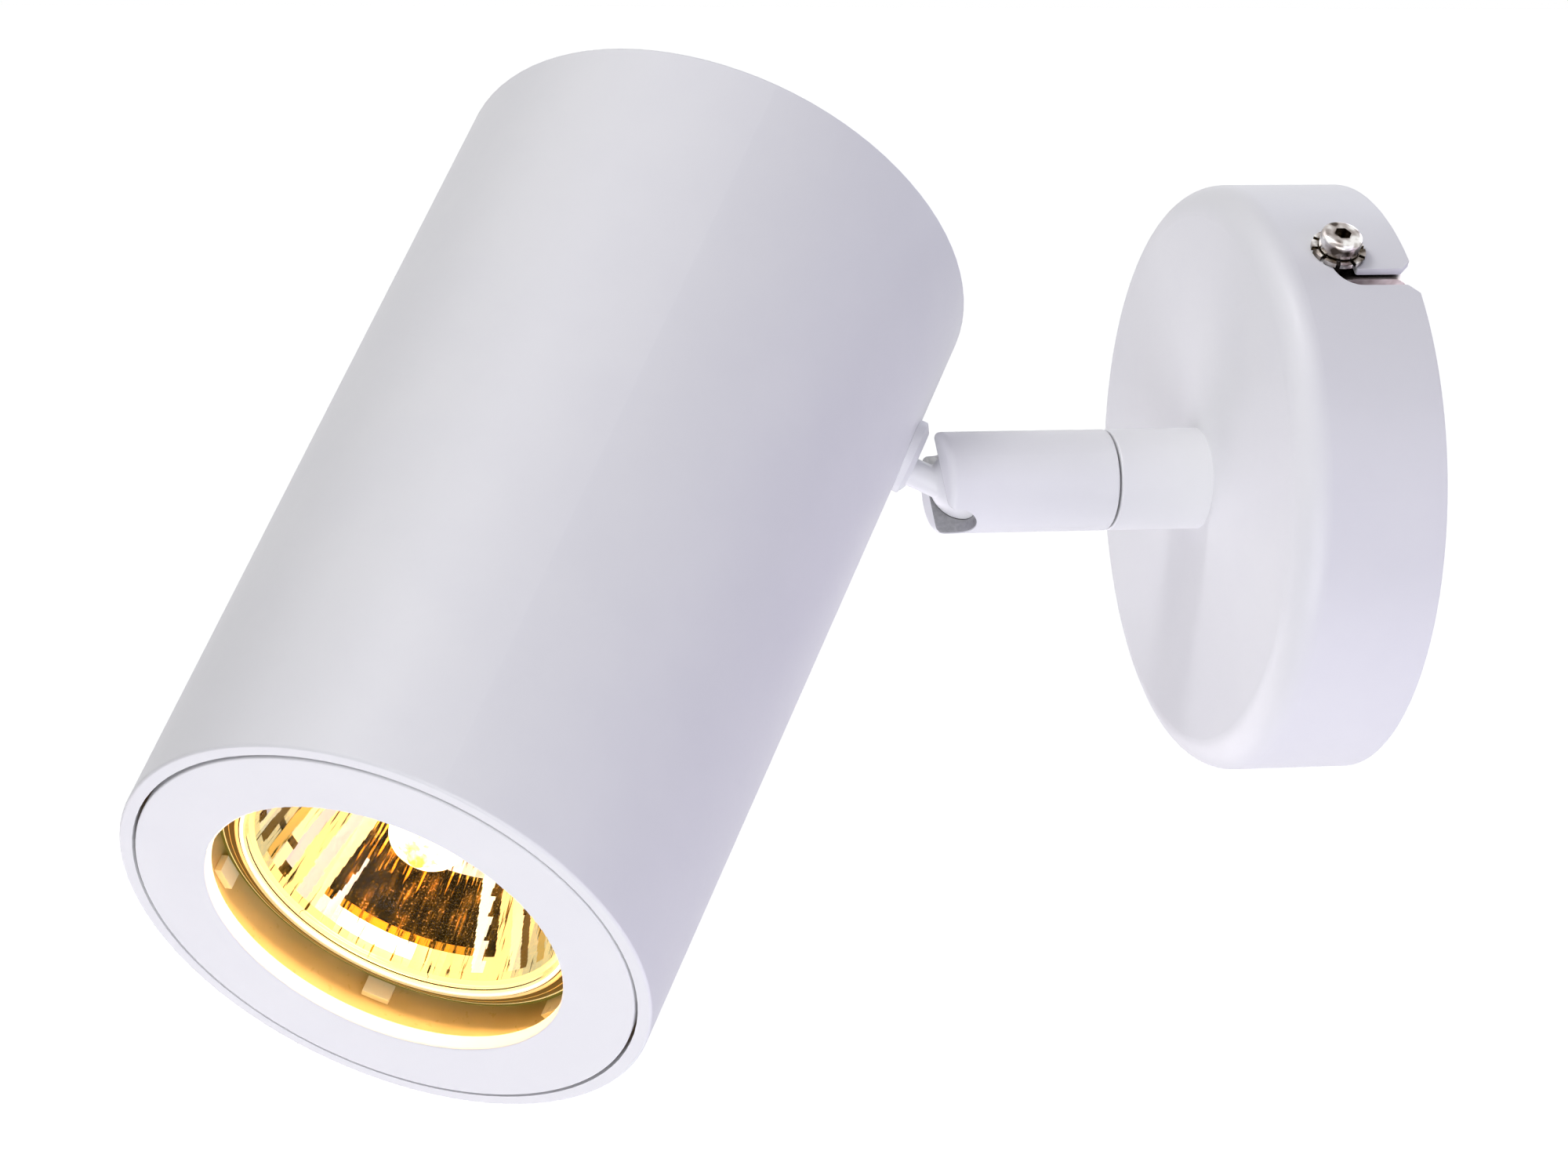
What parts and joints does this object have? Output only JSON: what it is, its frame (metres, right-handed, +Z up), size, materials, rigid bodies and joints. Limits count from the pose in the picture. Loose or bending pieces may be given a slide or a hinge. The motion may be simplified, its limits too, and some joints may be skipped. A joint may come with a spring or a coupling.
{
  "type": "wall spotlight",
  "caption": "Wall spotlight: a round canopy on a wall bracket, an arm that turns and tilts, and a cylindrical head with a recessed reflector lamp behind a flat front ring.",
  "frame": {"origin": "centre of the canopy and of the bracket's cable hole, on the wall plane", "axes": "+Y into the wall, +Z up, the arm runs out along -Y"},
  "size_m": [0.1201, 0.1689, 0.1314],
  "materials": {
    "white_coat": "satin",
    "sleeve_coat": "satin",
    "zinc_plate": "satin",
    "nickel_plate": "polished",
    "spring_steel": "satin",
    "brass_parts": "satin",
    "slide_plastic": "matte",
    "terminal_plastic": "matte",
    "lead_plastic": "matte",
    "white_ceramic": "matte",
    "lamp_metal": "satin",
    "filament_wire": "satin",
    "lamp_mirror": "polished",
    "lamp_glass": "gloss"
  },
  "bodies": {
    "wall_base": {"canopy": "white_coat", "mounting_bracket": "zinc_plate", "canopy_screws": "nickel_plate", "lock_washers": "nickel_plate", "stem": "white_coat", "stem_washer": "zinc_plate", "stem_nut": "zinc_plate", "friction_washer": "slide_plastic", "stop_pin": "zinc_plate", "wave_washer": "zinc_plate", "lock_ring": "zinc_plate", "terminal_block": "terminal_plastic", "block_screws": "nickel_plate", "terminal_screws": "brass_parts", "supply_leads": "lead_plastic", "earth_washer": "zinc_plate", "earth_screw": "brass_parts"},
    "barrel": {"swivel_barrel": "white_coat", "turn_bush": "slide_plastic", "disc_springs": "spring_steel", "ball_seat": "slide_plastic"},
    "head": {"ball_stud": "white_coat", "neck_foot": "white_coat", "neck_washer": "zinc_plate", "neck_nut": "zinc_plate", "head_tube": "white_coat", "rear_cap": "white_coat", "lamp_holder": "white_ceramic", "holder_contacts": "brass_parts", "holder_bracket": "zinc_plate", "holder_screws": "nickel_plate", "head_leads": "lead_plastic"},
    "front_ring": {"front_ring": "white_coat", "ring_sleeve": "sleeve_coat", "leaf_springs": "spring_steel"},
    "lamp": {"lamp_reflector": "lamp_mirror", "lamp_front_glass": "lamp_glass", "lamp_capsule": "lamp_glass", "lamp_filament": "filament_wire", "lamp_base": "white_ceramic", "lamp_pins": "lamp_metal"}
  },
  "joints": [
    {"name": "barrel_turn", "type": "hinge", "parent": "wall_base", "child": "barrel", "pos_m": [0, -0.0323, 0], "axis": [0, 1, 0], "range_deg": [-133.4, 206.6]},
    {"name": "head_tilt", "type": "hinge", "parent": "barrel", "child": "head", "pos_m": [0, -0.05165, 0], "axis": [-0.8028, 0, -0.5962], "range_deg": [-65.5, 59.5]},
    {"name": "ring_pull", "type": "slide", "parent": "head", "child": "front_ring", "axis": [0.5137, -0.5075, -0.6917], "range_m": [0, 0.028]},
    {"name": "lamp_turn", "type": "hinge", "parent": "head", "child": "lamp", "pos_m": [0.00887, -0.1109, -0.01195], "axis": [0.5137, -0.5075, -0.6917], "range_deg": [0, 25]}
  ]
}
